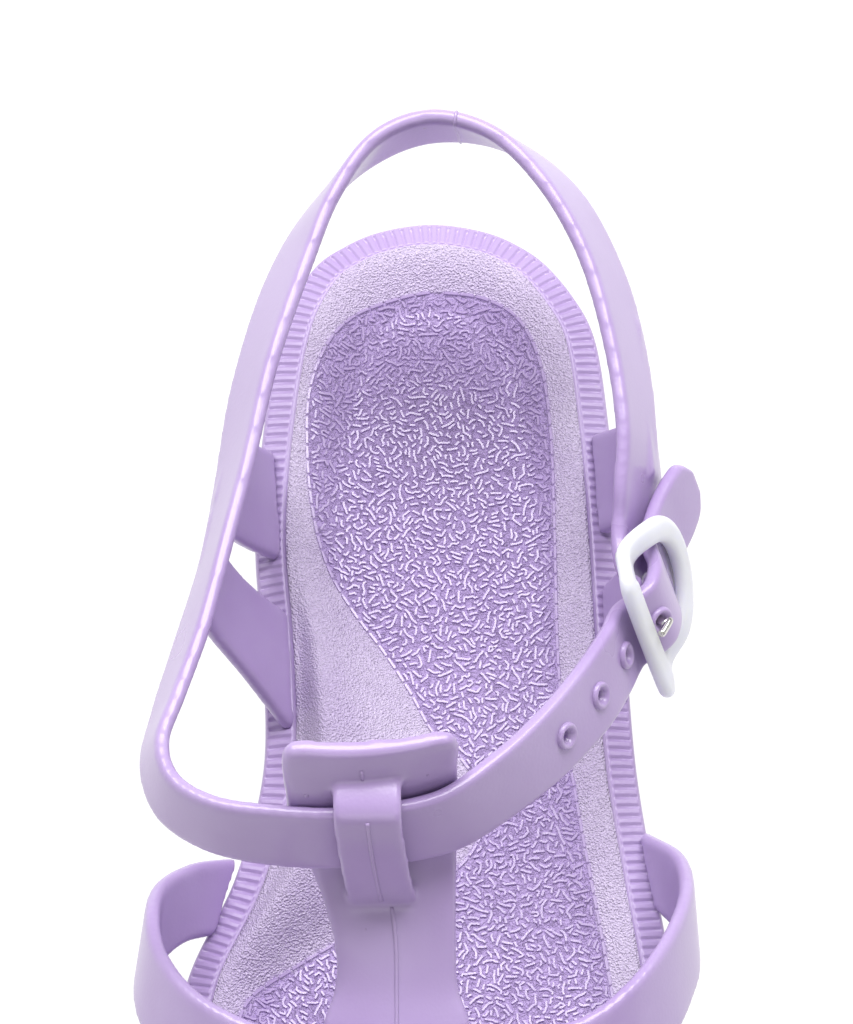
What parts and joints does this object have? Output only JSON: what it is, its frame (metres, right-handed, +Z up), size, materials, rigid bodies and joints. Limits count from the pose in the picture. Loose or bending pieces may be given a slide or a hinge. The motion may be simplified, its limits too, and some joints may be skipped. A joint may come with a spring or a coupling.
{
  "type": "jelly sandal",
  "caption": "Moulded open-toe jelly sandal for a left foot: ribbed sole with footbed, heel band with ankle strap, T-bar vamp with keeper, and a plastic buckle with a steel prong.",
  "frame": {"origin": "on the floor, under the middle of the shoe's bounding box", "axes": "+Z up, -Y towards the toe, +Y towards the heel, +X towards the outer (lateral) side, where the buckle is"},
  "size_m": [0.1013, 0.25, 0.0843],
  "materials": {
    "sole_plastic": "soft moulded plastic with a fine embossed footbed",
    "strap_plastic": "glossy soft plastic",
    "buckle_plastic": "milky gloss",
    "buckle_steel": "polished steel"
  },
  "bodies": {
    "root": {"sole": "sole_plastic", "heel_band_and_ankle_strap": "strap_plastic", "t_bar_vamp": "strap_plastic", "buckle_frame": "buckle_plastic", "buckle_axle": "buckle_steel", "buckle_prong": "buckle_steel"}
  },
  "joints": []
}
